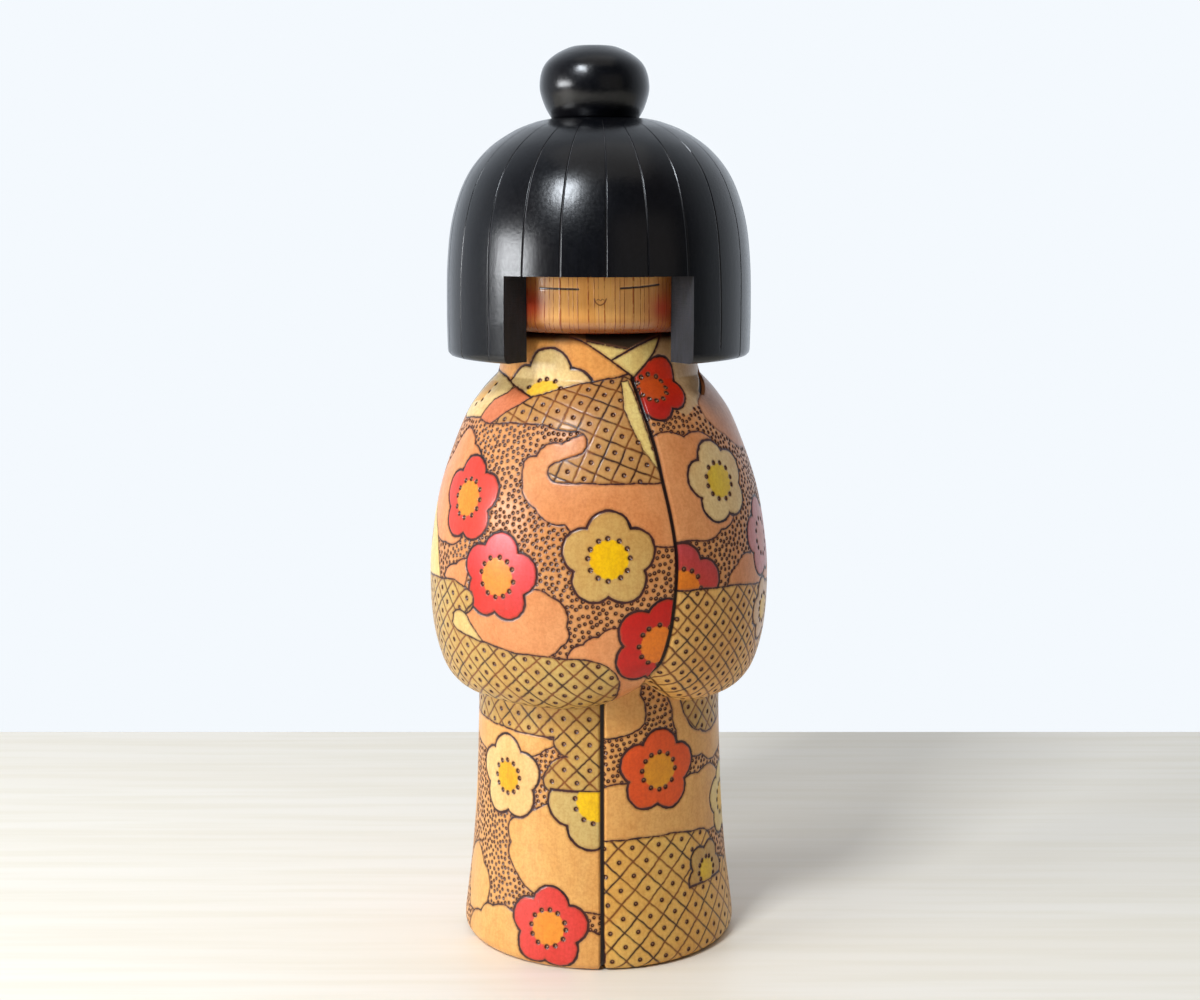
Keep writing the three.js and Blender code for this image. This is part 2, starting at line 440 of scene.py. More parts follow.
    def punch_dots(self):
        """Writes each dot into the grid, as a share of its radius from its middle."""
        columns = len(self.angle)
        step = self.along[1] - self.along[0]
        for angle, level, size in self.dots:
            column = int(round((wrap(angle) + 180) / 360 * columns))
            across = int(DOT_REACH * size / (2 * math.pi * self.radius(level) / columns)) + 1
            take = np.arange(column - across, column + across + 1) % columns
            row = np.searchsorted(self.levels[:, take[across]], level)
            up = int(DOT_REACH * size / step) + 1
            span = slice(max(0, row - up), row + up + 1)
            u = np.radians(wrap(self.angles[span][:, take] - angle)) * self.radii[span][:, take]
            share = np.hypot(u, self.levels[span][:, take] - level) / size
            nearer = share < self.pit[span][:, take]
            self.pit[span, take] = np.where(nearer, share, self.pit[span][:, take])
            self.pit_radius[span, take] = np.where(nearer, size, self.pit_radius[span][:, take])

    def engraved(self):
        """How far each point is cut below the turned surface."""
        cuts = [DOT_DEPTH * self.pit_radius * dish(self.pit)]
        for away, half_width, depth in ((self.line + 0.45, 0.65, 0.28), (self.mesh_line, 0.42, 0.15),
                                        (self.groove, 0.75, 0.95)):
            cuts.append(depth * dish(away / half_width))
        return np.max(cuts, axis=0)


def finish_block(name, side, below, above, pole_heights, sunk):
    """Joins a painted side to the plain rings beneath and above it, as one closed piece.

    The last two rings beneath rise and fall with the hem.
    """
    depth = side.engraved() + sunk
    low_r, _, low_z = revolve(below, side.angle)
    high_r, _, high_z = revolve(above, side.angle)
    low_z[-2:] += side.heights[0] - side.z[0]
    radius = np.vstack([low_r, side.radii - side.out_r[:, None] * depth, high_r])
    height = np.vstack([low_z, side.heights - side.out_z[:, None] * depth, high_z])
    piece = turned(name, radius, np.broadcast_to(side.angle, radius.shape), height, pole_heights)

    def padded(values, fill):
        return np.pad(values, ((len(below), len(above)), (0, 0)), constant_values=fill)

    for field, values in {"outline": side.line, "mesh_line": side.mesh_line, "dot": side.pit,
                          "groove": side.groove}.items():
        store(piece, field, padded(values, FAR))
    bands = [padded(side.colour[..., k], linear(RAW_WOOD)[k]) for k in range(3)]
    store(piece, "paint", np.stack([*bands, np.ones(radius.shape)], -1))
    return piece


# ---- colours

def bloom(petals, heart, upper=None):
    """Linear colours of a blossom's petals and heart, and what the petals turn to at their upper right."""
    return linear(petals), linear(heart), linear(petals if upper is None else upper)


RAW_WOOD = (222, 184, 132)
GROUND = (214, 152, 94)
SKIRT_GROUND = (222, 166, 98)
PEACH = (224, 152, 96)
SKIRT_PEACH = (228, 174, 100)
SALMON = (214, 126, 84)
CHEST = (236, 170, 94)
CHEST_GREY = (206, 172, 128)
CHEST_CREAM = (232, 204, 140)
SHOULDER = (208, 140, 92)
SHOULDER_HEART = (222, 166, 60)
# Painted shade for the gap at the left shoulder.
SHOULDER_GAP_SHADE = (34, 20, 16)
COLLAR = (242, 220, 140)
# Painted shadow under the chin.
CHIN_SHADOW_OLIVE = (60, 44, 22)
TEARDROP = (222, 196, 126)
STRAW = (196, 148, 88)
SLEEVE_STRAW = (202, 168, 96)
SKIRT_STRAW = (200, 162, 88)
# The straw stain of the jacket's right front panel, painted lighter than the other lattices to make up for
# the weaker light on that side.
PANEL_STRAW_PAINTED_LIGHTER = (230, 180, 100)
# The skirt's straw stain, painted lighter on its right panel to make up for the weaker light on that side.
SKIRT_PANEL_PAINTED_LIGHTER = (228, 182, 94)
CREAM = (206, 169, 100)
PALE_CREAM = (238, 212, 134)
YELLOW = (244, 196, 6)
ORANGE = (240, 146, 44)
ROSE = (236, 92, 104)
RED = (216, 46, 34)
CRIMSON = (222, 66, 58)

CHEST_BLOOM = bloom(CHEST_CREAM, (246, 206, 70))
CHEST_RED_BLOOM = bloom((186, 34, 22), (206, 84, 30), (222, 56, 22))
STRAW_BLOOM = bloom(CREAM, YELLOW)
SIDE_STRAW_BLOOM = bloom(CREAM, (240, 200, 30))
RED_BLOOM = bloom(RED, ORANGE)
# Red fading to rose at the upper right: partly a pinker stain, partly a painted highlight.
RED_ROSE_SHEEN_BLOOM = bloom(RED, ORANGE, ROSE)
ROSE_BLOOM = bloom(ROSE, ORANGE)
SCARLET_BLOOM = bloom((224, 68, 54), ORANGE)
DEEP_RED_BLOOM = bloom((198, 22, 8), (232, 124, 20))
DUSKY_BLOOM = bloom((214, 60, 28), (232, 130, 32), (186, 70, 74))
BUFF_BLOOM = bloom((224, 194, 136), (222, 186, 44))
PINK_BLOOM = bloom((206, 126, 128), (214, 140, 130))
FAR_BUFF_BLOOM = bloom((224, 184, 136), YELLOW)
VERMILION_BLOOM = bloom((226, 84, 20), (222, 148, 24))
SKIRT_CREAM_BLOOM = bloom((238, 198, 132), (232, 180, 20))
HALF_BLOOM = bloom((206, 178, 110), YELLOW)
CRIMSON_BLOOM = bloom(CRIMSON, (238, 150, 48))
BACK_CRIMSON_BLOOM = bloom(CRIMSON, ORANGE)
CREAM_BLOOM = bloom(PALE_CREAM, YELLOW)
PANEL_BLOOM = bloom(SKIRT_STRAW, (232, 196, 30))

# ---- the jacket

JACKET_COLUMNS = 1040
HEM_Z = 88.6
HEM_BLEND_Z = 112
NOTCH_RISE, NOTCH_ANGLE, NOTCH_WIDE, NOTCH_STEEP, NOTCH_POINT = 8.8, 20, 15.5, 10.5, 1.3
SLEEVE = [(44.8, HEM_Z), (49.8, 91.2), (53.9, 97.4), (56.9, 109), (57.9, 123), (57.2, 138), (53.6, 158),
          (46, 179), (40.2, 188.6), (34.2, 195.2)]
NECK_R = 33
NECK = [(34.2, 195.2), (33.3, 199), (NECK_R, 204)]
NECK_TOP_Z = 210.2
NECK_ROUND = 2.5
NECKLINE_Z = 196.8
SOCKET_R, SOCKET_TOP_Z = 42, 104.3
DOWEL_BORE_R, DOWEL_BORE_TOP_Z, DOWEL_BORE_BOTTOM_Z = 10.3, 122.3, 85.7
PEG_BORE_R, PEG_BORE_TOP_Z, PEG_BORE_BOTTOM_Z = 8.3, 232.3, 185.7


def hem_lift(angle, height):
    """The hem rises where the left sleeve passes over the right one, and falls steeply beyond."""
    past = np.asarray(angle) - NOTCH_ANGLE
    lift = NOTCH_RISE * np.exp(-np.abs(past / np.where(past < 0, NOTCH_WIDE, NOTCH_STEEP)) ** NOTCH_POINT)
    fade = np.clip((HEM_BLEND_Z - height) / (HEM_BLEND_Z - HEM_Z), 0, 1)
    return fade * fade * (3 - 2 * fade) * lift


jacket_line = (spline(SLEEVE) + spline(NECK, 30)[1:]
               + arc(NECK_R - NECK_ROUND, NECK_TOP_Z - NECK_ROUND, NECK_ROUND, 0, 90)[1:])
jacket = Side(evenly(jacket_line, STEP), JACKET_COLUMNS, GROUND, hem_lift)

FRONT_EDGE = [(19.4, 196), (20.4, 186), (22.8, 174), (23.8, 164), (25.4, 152), (26.3, 141), (25.4, 129),
              (23.8, 117), (21.2, 107), (17.8, 98.5), (18, 94), (19.6, 90)]
edge_heights, edge_angles = zip(*[(z, a) for a, z in reversed(spline(FRONT_EDGE, 80))])
edge_at = np.interp(jacket.levels, jacket.level(edge_heights), edge_angles)
# Millimetres from the front edge, as limits for what the left and the right of the jacket show.
left_front = np.radians(wrap(jacket.angles - edge_at)) * jacket.radii
right_front = -left_front


def draw_chest(side):
    """The chest, seen above the jacket's neckline."""
    everywhere = np.ix_(np.arange(len(side.z)), np.arange(len(side.angle)))
    side.paint(everywhere, NECKLINE_Z - side.heights, linear(CHEST))
    side.cloud([(-92, 214), (-92, 196), (-60, 190), (-45, 188), (17, 194), (17, 214)], CHEST, -40, None, 0)
    side.cloud([(17, 214), (17, 194), (40, 184), (60, 189), (84, 196), (92, 197), (92, 214)],
               CHEST_GREY, 50, None, 0)
    side.flower(-29, 190.6, 16.8, CHEST_BLOOM, 0, 184 - side.heights, 0.4)
    side.flower(28.6, 193, 12.6, CHEST_RED_BLOOM, 30, right_front, 0.4)


def draw_left_front(side):
    side.cloud([(30, 146), (30, 190), (-3, 180, 0.1), (-14.5, 176.5, 0.4), (-24, 172.5, 0.25),
                (-29, 170.5, 0.1), (-28, 164, 0.35), (-22, 156.5, 0.35), (-11, 152, 0.3), (0, 147),
                (18, 145, 0.2)], PEACH, 0, left_front)
    side.lattice([(32, 164.2), (32, 199), (14, 197), (-10, 194.5), (-34, 190), (-53.5, 180.8), (-37, 182),
                  (-23, 182, 0.08), (-9.5, 180.3, -0.75), (-6.5, 173.6), (-15, 171, 0.95), (-15, 164.7)],
                 STRAW, 5.7, -22, -5, left_front)
    side.cloud([(-48, 128), (-40, 131), (-22, 131, 0.25), (-15, 129, 0.45), (-10, 119.5, 0.45),
                (-12, 113, 0.2), (-17, 109), (-60, 110), (-62, 122)], PEACH)
    side.cloud([(-62, 130), (-50, 126), (-46, 138, 0.2), (-54.5, 135.5, 0.3)], PEACH)
    side.cloud([(5, 119.5, 0.2), (0, 116.5, 0.3), (-5, 114, 0.3), (-10, 110), (-10, 90), (30, 90),
                (30, 118)], PEACH, 10, left_front)
    side.cloud([(-68, 178.5, 0.2), (-76, 170), (-88, 160), (-92, 146), (-72, 142, 0.2), (-63, 141.5, 0.3),
                (-53, 143.5), (-50, 170, 0.2), (-57, 174, 0.25)], PEACH)
    side.flower(3.3, 141.2, 15.3, STRAW_BLOOM)
    # The rose at this blossom's upper right is partly a painted highlight.
    side.flower(-34.6, 133.8, 14.8, RED_ROSE_SHEEN_BLOOM, -6)
    side.flower(-52.5, 157, 14.6, SCARLET_BLOOM, 3)
    side.flower(19.6, 113, 15.2, DEEP_RED_BLOOM, -90, left_front)
    side.cloud([(-65.5, 128), (-66.5, 132), (-69, 138, 0.1), (-74, 144.5), (-84, 152, 0.2), (-94, 148, 0.2),
                (-94, 126)], PALE_CREAM, -80)
    side.lattice([(-75, 128), (-100, 126), (-110, 80), (2, 80), (4.5, 93, 0.1), (6.6, 100.5, 0.2),
                  (2.5, 106.6, 0.1), (-6, 108.8), (-28, 109.5), (-41, 111.5), (-52, 112.8, 0.4),
                  (-56.5, 118.5), (-48, 120, 0.5), (-45.5, 127.5), (-54.5, 130)],
                 SLEEVE_STRAW, 5.7, 42, -30, left_front)
    side.cloud([(-56, 118.8, -0.2), (-57, 115.5, 0.3), (-52, 113), (-41, 111.3), (-47, 117.5, 0.5)],
               TEARDROP)


def draw_right_front(side):
    side.cloud([(22, 146), (34, 145.5, 0.25), (45.5, 147.7, 0.3), (53, 151.5, 0.3), (60, 164),
                (50, 177, 0.3), (36, 177.8, 0.3), (22, 178.5)], PEACH, 38, right_front)
    side.flower(49, 163, 14, BUFF_BLOOM, 8, right_front)
    side.flower(28, 130.4, 15, DUSKY_BLOOM, 0, right_front)
    side.cloud([(46, 128), (88, 120, 0.3), (96, 127, 0.35), (88, 138, 0.15), (61, 138, 0.3),
                (52, 135.5, 0.3)], PEACH, 66)
    side.flower(74, 141.5, 13.8, PINK_BLOOM, 5)
    side.lattice([(10, 80), (118, 80), (112, 118, 0.3), (95, 125), (76, 125.5), (48, 129.3), (15, 130.5)],
                 # Its straw is painted lighter for the weaker light on the right.
                 PANEL_STRAW_PAINTED_LIGHTER, 5.3, 46, 45, right_front)
    side.flower(73.5, 117.3, 11, FAR_BUFF_BLOOM, 90)
    side.cloud([(62, 176.5, 0.2), (52, 182.5, 0.2), (53, 188), (60, 190.2), (84, 196.4), (100, 197, 0.3),
                (112, 188, 0.35), (102, 172, 0.25), (78, 171, 0.2)], SHOULDER, 74, None, 0.1)


def draw_left_shoulder(side):
    side.cloud([(-52, 180.6), (-33.6, 189.8), (-47, 192.8), (-66, 186), (-60, 181.5)], SALMON)
    side.cloud([(-86, 196.4), (-64, 195.3), (-49.5, 193), (-50.5, 190.5), (-58, 188.3), (-61, 182.4),
                (-80, 180.5, 0.1), (-98, 184, 0.1), (-104, 195)], CHEST_CREAM, -72)
    side.cloud([(-80, 193), (-67.6, 193.2), (-69.8, 187.3), (-82, 185.5)], SHOULDER_HEART, -74, None, 0)
    for angle, height in ((-67.4, 192.4), (-68.2, 190), (-70.2, 187.2), (-75, 185.4)):
        side.dots.append((angle, side.level(height), 0.75))
    # A narrow dark wedge painted as the shade in the gap where the left shoulder meets the chest.
    side.cloud([(-83, 197.2), (-90, 197.4), (-88.6, 181), (-86.6, 181)], SHOULDER_GAP_SHADE, -86, None, 0)


def draw_jacket_back(side):
    """The same clouds and blossoms carried round the back."""
    for outline in ([(122, 182, 0.35), (104, 178, 0.3), (100, 166, 0.3), (108, 152, 0.35), (124, 149, 0.3),
                     (140, 153, 0.35), (150, 164, 0.3), (144, 177, 0.3)],
                    [(-146, 171, 0.3), (-164, 164, 0.35), (-168, 148, 0.3), (-152, 138, 0.35),
                     (-128, 135, 0.3), (-106, 142, 0.3), (-104, 157, 0.35), (-122, 169, 0.3)],
                    [(-98, 191, 0.3), (-100, 181, 0.3), (-112, 175, 0.35), (-128, 177, 0.3),
                     (-140, 184, 0.35), (-134, 192, 0.2)],
                    [(98, 137, 0.3), (108, 145, 0.3), (126, 143, 0.3), (138, 134, 0.35), (130, 126, 0.3),
                     (104, 126, 0.3)]):
        side.cloud(outline, PEACH)
    side.lattice([(196, 193.5), (160, 193.5), (140, 190, 0.5), (142, 181), (170, 178, -0.6), (172, 172),
                  (158, 170, 0.9), (160, 163), (205, 164, 0.9), (206, 172), (214, 180, 0.5), (218, 188)],
                 STRAW, 5.1, 20, 180)
    side.cloud([(150, 126, 0.3), (138, 120, 0.35), (142, 108), (205, 106, 0.3), (210, 120, 0.35),
                (196, 128, 0.3), (172, 131, 0.3)], PEACH)
    side.flower(124, 165, 14.5, RED_BLOOM, 4)
    side.flower(174, 145, 15, STRAW_BLOOM, -3)
    side.flower(-134, 152, 14.5, SCARLET_BLOOM, 8)
    side.flower(-97, 139, 14, SIDE_STRAW_BLOOM, -4)
    side.flower(150, 118, 14.5, ROSE_BLOOM, 10)
    side.lattice([(112, 80), (252, 80), (250, 120), (236, 122, 0.6), (232, 112), (205, 108),
                  (182, 104, 0.9), (176, 111), (150, 104), (134, 116), (118, 118)],
                 SLEEVE_STRAW, 5.2, 44, 180)
    side.flower(-150, 118, 14.5, VERMILION_BLOOM, -6)


def draw_neckline(side):
    """Collar, lapel, neckline and front edge, with a painted shadow under the chin."""
    # A dark olive patch painted as the shadow under the chin, above the collar.
    side.cloud([(-9, 212), (-7, 208), (15.6, 205.4), (37.5, 209.4), (39, 212)], CHIN_SHADOW_OLIVE, 14, None, 0)
    side.cloud([(-7, 208), (15.6, 205.4), (7.4, 202)], COLLAR, 6, None, 0)
    side.cloud([(8, 202), (37, 209.4), (31.5, 203.3), (19.6, 196.3)], COLLAR, 20, None, 0)
    side.cloud([(22.4, 168), (21.2, 174.5), (19.8, 180.5), (18.2, 187), (16.4, 195.4), (12, 195),
                (11.4, 187), (13.6, 181), (17.2, 174.5)], COLLAR, 17, None, 0.16)
    for places, half_width in (([(-16, 209.3), (-7.5, 207.4), (4, 203), (19.5, 196.3)], 0.3),
                               ([(-7, 208), (15.6, 205.4)], 0.2),
                               ([(37.5, 209.5), (21.7, 206.3), (7.6, 202)], 0.34),
                               ([(37.8, 209.5), (31.7, 203.2), (19.6, 196.2)], 0.36),
                               ([(-86, 196.4), (-64, 195.3), (-49.5, 193), (-33.5, 189.9)], 0.26)):
        side.stroke(places, half_width)
    side.stroke(FRONT_EDGE, 0.5, 22, deep=True)
    side.stroke([(60, 190.2), (84, 196.4)], 0.4, 72, deep=True)


def sunk_beyond(distance, depth):
    """A step down at a carved edge, which fades out over a few millimetres."""
    return depth * np.exp(-np.clip(distance, 0, None) / 3) * ((distance > 0) & (distance < 25))


for draw in (draw_chest, draw_left_front, draw_right_front, draw_left_shoulder, draw_jacket_back,
             draw_neckline):
    draw(jacket)
jacket.stipple(1.55, 0.66)
jacket.punch_dots()
# Painted shade under the chin and the hair: the top of the neck darkens towards the head.
jacket.colour *= 1 - 0.93 * np.clip((jacket.heights - 206.4) / 2.6, 0, 1)[..., None] ** 1.5
under_panel = sunk_beyond(left_front, 0.45) * np.clip((196 - jacket.heights) / 2, 0, 1)
jacket_piece = finish_block(
    "jacket", jacket,
    [(DOWEL_BORE_R, DOWEL_BORE_TOP_Z), (DOWEL_BORE_R, SOCKET_TOP_Z), (20, SOCKET_TOP_Z), (30, SOCKET_TOP_Z),
     (SOCKET_R, SOCKET_TOP_Z), (SOCKET_R, 96), (SOCKET_R, HEM_Z), (43.4, HEM_Z)],
    [(20, NECK_TOP_Z), (PEG_BORE_R, NECK_TOP_Z), (PEG_BORE_R, PEG_BORE_BOTTOM_Z)],
    (DOWEL_BORE_TOP_Z, PEG_BORE_BOTTOM_Z), under_panel)

# ---- the skirt

SKIRT_COLUMNS = 840
SKIRT_TOP_Z = 104
SKIRT_R = 41.7
SKIRT_EDGE = 1.5
skirt_line = ([(44.5, 0)] + arc(43.7, 3.5, 3.5, -60, 0)
              + spline([(47.1, 6), (46, 15), (44.3, 29), (42.7, 51), (SKIRT_R, 80)]) + [(SKIRT_R, 96)])
skirt = Side(evenly(skirt_line, STEP), SKIRT_COLUMNS, SKIRT_GROUND)
# Millimetres from the skirt's edge, as limits for the panels on its two sides.
left_panel = np.radians(wrap(skirt.angles - SKIRT_EDGE)) * skirt.radii
right_panel = -left_panel


def draw_left_panel(side):
    side.cloud([(-25, 73.6, 0.1), (-17, 77), (-80, 84), (-90, 74), (-77, 69), (-50, 66), (-31, 71, 0.15)],
               SKIRT_PEACH, -45)
    side.cloud([(2, 19, 0.15), (3, 62), (-25, 55), (-39, 49, 0.3), (-45, 45, 0.25), (-43, 40, 0.3),
                (-43.5, 35, 0.1), (-38, 29.5, 0.2), (-26, 24), (-10, 21)], SKIRT_PEACH, -20, left_panel)
    side.cloud([(-72, 34, 0.2), (-84, 24), (-74, 10), (-62, 10, 0.25), (-55.5, 20, 0.35),
                (-63, 28.5, 0.25)], SKIRT_PEACH)
    side.cloud([(2, 12.5), (-3, 14, 0.3), (-9, 10), (-38, 16, 0.3), (-52, 16, 0.3), (-61, 12, 0.3),
                (-72, 5), (-72, -1), (2, -1)], SKIRT_PEACH, -20, left_panel)
    side.lattice([(3, 60), (3, 100), (-92, 100), (-92, 79), (-76, 78.7), (-52, 78.5), (-35, 78),
                  (-21, 78.2, 0.4), (-14.5, 72, 0.3), (-24, 67, 0.3), (-25, 61, 0.3), (-17, 60)],
                 SKIRT_STRAW, 6.1, 46, -20, left_panel)
    side.flower(-46.5, 61.8, 14.5, SKIRT_CREAM_BLOOM, 4, None, 0.39)
    side.flower(-1, 57, 16.4, HALF_BLOOM, 22, np.maximum(left_panel, side.heights - 60.5))
    side.flower(-21.5, 13.7, 14.2, CRIMSON_BLOOM, -3)


def draw_right_panel(side):
    side.cloud([(0, 78), (11, 79, 0.15), (16.5, 80.5, 0.15), (21.5, 83, 0.2), (19, 93), (20, 100),
                (0, 100)], SKIRT_PEACH, 10, right_panel)
    side.cloud([(0, 42), (75, 40), (76, 58), (70, 61, 0.3), (52.5, 62, 0.3), (40, 60), (14, 62.8, 0.2),
                (0, 61)], SKIRT_PEACH, 35, right_panel)
    side.cloud([(30, 100), (36, 86, 0.2), (38, 79, 0.3), (46, 69.5, 0.2), (56, 68, 0.3), (72, 65, 0.2),
                (88, 70), (92, 100)], SKIRT_PEACH, 60)
    side.lattice([(38, 100), (41, 88, 0.1), (46, 81, 0.3), (55, 76.8, 0.3), (70, 76, 0.3), (84, 82),
                  (88, 100)], SKIRT_STRAW, 5.6, 44, 60)
    side.flower(28.5, 66.2, 14.3, VERMILION_BLOOM, -4)
    side.flower(80, 48, 13, CREAM_BLOOM)
    side.lattice([(0, -1), (118, -1), (116, 20, 0.3), (100, 28), (80, 26), (66, 30, -0.3), (60, 35, 0.3),
                  (61, 38, 0.3), (50, 42.5), (36, 44), (16, 44.2), (0, 43.6)],
                 # Its straw is painted lighter for the weaker light on the right.
                 SKIRT_PANEL_PAINTED_LIGHTER, 6.7, 45, 40, right_panel)
    side.flower(56, 27.5, 10.5, PANEL_BLOOM, -30, 24 - side.heights)


def draw_skirt_back(side):
    """The sides and the back."""
    for outline in ([(-96, 62, 0.35), (-108, 56, 0.3), (-106, 42, 0.35), (-94, 34, 0.3), (-82, 40, 0.3),
                     (-80, 54, 0.3)],
                    [(128, 66, 0.35), (112, 60, 0.3), (108, 46, 0.35), (122, 36, 0.3), (140, 40, 0.35),
                     (146, 54, 0.3)],
                    [(-160, 40, 0.35), (-178, 34, 0.3), (-182, 18, 0.3), (-176, 6), (-130, 4, 0.3),
                     (-118, 14, 0.35), (-124, 28, 0.3), (-140, 38, 0.3)]):
        side.cloud(outline, SKIRT_PEACH)
    side.lattice([(118, 100), (118, 80, 0.3), (132, 74), (168, 76, 0.8), (172, 84), (204, 80, 0.6),
                  (206, 72), (232, 74, 0.4), (240, 84), (250, 100)], SKIRT_STRAW, 6, 45, 184)
    side.cloud([(154, 68, 0.3), (172, 73, 0.3), (192, 69, 0.3), (205, 58, 0.35), (196, 46, 0.3),
                (172, 42, 0.3), (155, 50, 0.3)], SKIRT_PEACH)
    side.lattice([(-84, -1), (-128, -1), (-124, 9, 0.4), (-110, 14, 0.4), (-92, 10, 0.3)],
                 SKIRT_STRAW, 6, 45, -105)
    side.flower(126, 50, 14.2, VERMILION_BLOOM, 5)
    side.flower(170, 58, 14.5, CREAM_BLOOM, -6)
    side.flower(-146, 22, 14.3, BACK_CRIMSON_BLOOM, 6)
    side.flower(-126, 58, 14, CREAM_BLOOM, 3)
    side.flower(-104, 21, 13.5, VERMILION_BLOOM, -8)
    side.lattice([(128, -1), (190, -1), (188, 14, 0.5), (170, 20), (146, 18, 0.4), (134, 10)],
                 SKIRT_STRAW, 6, 45, 155)


for draw in (draw_left_panel, draw_right_panel, draw_skirt_back):
    draw(skirt)
skirt.stroke([(SKIRT_EDGE, 100), (SKIRT_EDGE, 50), (SKIRT_EDGE, 0)], 0.45, SKIRT_EDGE, deep=True)
skirt.stipple(1.5, 0.64)
skirt.punch_dots()
skirt_piece = finish_block(
    "skirt", skirt, [(15, 0), (35, 0)],
    [(SKIRT_R, SKIRT_TOP_Z), (30, SKIRT_TOP_Z), (DOWEL_BORE_R, SKIRT_TOP_Z),
     (DOWEL_BORE_R, DOWEL_BORE_BOTTOM_Z)],
    (0, DOWEL_BORE_BOTTOM_Z), sunk_beyond(left_panel, 0.35))

# ---- the hair

HAIR_R = 51.2
HAIR_BOTTOM_Z = 201.3
SEAT_R, SEAT_Z = 16.4, 279.3
CROWN = [(HAIR_R, 214), (50.8, 232), (48.9, 247), (44.3, 260), (37.2, 269.2), (28.2, 275.4),
         (SEAT_R + 4, 278.5)]
CAVITY_R, CAVITY_TOP_Z = 39.5, 250.7
BUN_BORE_R = 4.4
CEILING_BORE_TOP_Z, SEAT_BORE_BOTTOM_Z = 265, 272  # ends of the bores from the cavity and from the seat
WINDOW_TOP_Z = 229.2
WINDOW_HALF = 36
HAIR_LINES = 23
FIRST_LINE = 2.5
LINE_HALF_WIDTH, LINE_DEPTH = 0.28, 0.3


def hair_columns():
    """Column angles that crowd round each scribed line and hit the window's edges, and the lines' own."""
    spread = rng.uniform(-0.8, 0.8, HAIR_LINES)
    lines = wrap(FIRST_LINE + 360 / HAIR_LINES * np.arange(HAIR_LINES) + spread)
    near = np.degrees(np.array([-0.9, -0.5, -0.28, -0.14, 0, 0.14, 0.28, 0.5, 0.9]) / HAIR_R)
    columns = {round(float(line + offset), 5) for line in lines for offset in near}
    columns |= {-float(WINDOW_HALF), float(WINDOW_HALF)}
    for angle in np.arange(-180, 180, 2.4):
        if np.min(np.abs(wrap(lines - angle))) > 1.8 and abs(abs(angle) - WINDOW_HALF) > 0.8:
            columns.add(round(float(angle), 5))
    return np.array(sorted(columns)), lines


def build_hair():
    """The bob with its face window and scribed lines, and the numbers of the faces that the saw left."""
    angles, lines = hair_columns()
    outside = arc(HAIR_R - 2.2, HAIR_BOTTOM_Z + 2, 2, -90, 0) + spline(CROWN) + [(SEAT_R, SEAT_Z)]
    outside = evenly(outside, 1.1)
    outside[np.argmin(np.abs(outside[:, 1] - WINDOW_TOP_Z)), 1] = WINDOW_TOP_Z
    inside = [(BUN_BORE_R, CEILING_BORE_TOP_Z), (BUN_BORE_R, CAVITY_TOP_Z), (20, CAVITY_TOP_Z),
              (CAVITY_R, CAVITY_TOP_Z), (CAVITY_R, WINDOW_TOP_Z), (CAVITY_R, 215), (CAVITY_R, HAIR_BOTTOM_Z),
              (44, HAIR_BOTTOM_Z)]
    above = [(10, SEAT_Z), (BUN_BORE_R, SEAT_Z), (BUN_BORE_R, SEAT_BORE_BOTTOM_Z)]
    rings = np.array([*inside, *outside, *above])
    radius, angle, height = revolve(rings, angles)
    rows, columns = radius.shape

    offset = np.abs(wrap(angles[:, None] - lines))
    line = offset.argmin(1)
    away = np.radians(offset.min(1)) * HAIR_R
    foot = rng.uniform(0, 5, HAIR_LINES)[line]
    on_outside = np.zeros((rows, 1))
    on_outside[len(inside):len(inside) + len(outside)] = 1
    # The lines fade out near the rim, each at its own height, and at the seat of the topknot.
    above_rim = np.clip((height - HAIR_BOTTOM_Z - foot + 1) / 3, 0, 1)
    below_seat = np.clip((SEAT_Z - 0.3 - height) / 0.5, 0, 1)
    scribed = above_rim * below_seat * on_outside
    depth = LINE_DEPTH * dish(away / LINE_HALF_WIDTH) * scribed
    slope = slopes(rings)
    sway = 0.25 * np.sin(height / 19 + line * 1.7) + 0.1 * np.sin(height / 7 + line * 2.9)
    sway = np.degrees(sway / HAIR_R)
    loose = np.clip((np.abs(np.abs(angles) - WINDOW_HALF) - 1) / 4, 0, 1)
    corners = points_of(radius - slope[:, 1:] * depth, angle + sway * loose * on_outside,
                        height + slope[:, :1] * depth)
    corners = with_poles(corners, (CEILING_BORE_TOP_Z, SEAT_BORE_BOTTOM_Z))

    top_in, top_out = np.flatnonzero(rings[:, 1] == WINDOW_TOP_Z)
    left, right = np.searchsorted(angles, (-WINDOW_HALF, WINDOW_HALF))
    keep = np.ones((rows - 1, columns), bool)
    keep[top_in:top_out, left:right] = False
    column = np.arange(left, right)
    ceiling = np.stack([top_in * columns + column, top_in * columns + column + 1,
                        top_out * columns + column + 1, top_out * columns + column], -1)
    walls = [[row * columns + left for row in range(top_in, top_out + 1)],
             [row * columns + right for row in range(top_out, top_in - 1, -1)]]
    quads = np.vstack([grid_quads(rows, columns)[keep], ceiling])
    piece = add_mesh("hair", corners, quads, close_poles(rows, columns), walls)
    store(piece, "scribe", np.where(scribed > 0.5, away, FAR))
    total = len(piece.data.polygons)
    return piece, [*range(int(keep.sum()), len(quads)), *range(total - len(walls), total)]


hair_piece, window_faces = build_hair()

# ---- the head

HEAD_R = 39.2
HEAD_BOTTOM_Z, HEAD_TOP_Z = 210.5, 250.4
HEAD_BEVEL = 2
CHIN = 4.5
LEFT_EYE = [(-28.5, 225.1), (-20, 225.0), (-9.5, 224.9)]
RIGHT_EYE = [(10.3, 225.2), (20.5, 225.6), (29.3, 226.2)]
MOUTH = [(-2, 221.9), (-1.3, 220.7), (0.7, 219.9), (2.7, 220.7), (3.5, 221.9)]
LIPS = [(-0.9, 221.5), (0, 221.8), (0.8, 221.3), (1.6, 221.8), (2.5, 221.5)]
CHEEKS = ((-33, 220), (31, 218.5))


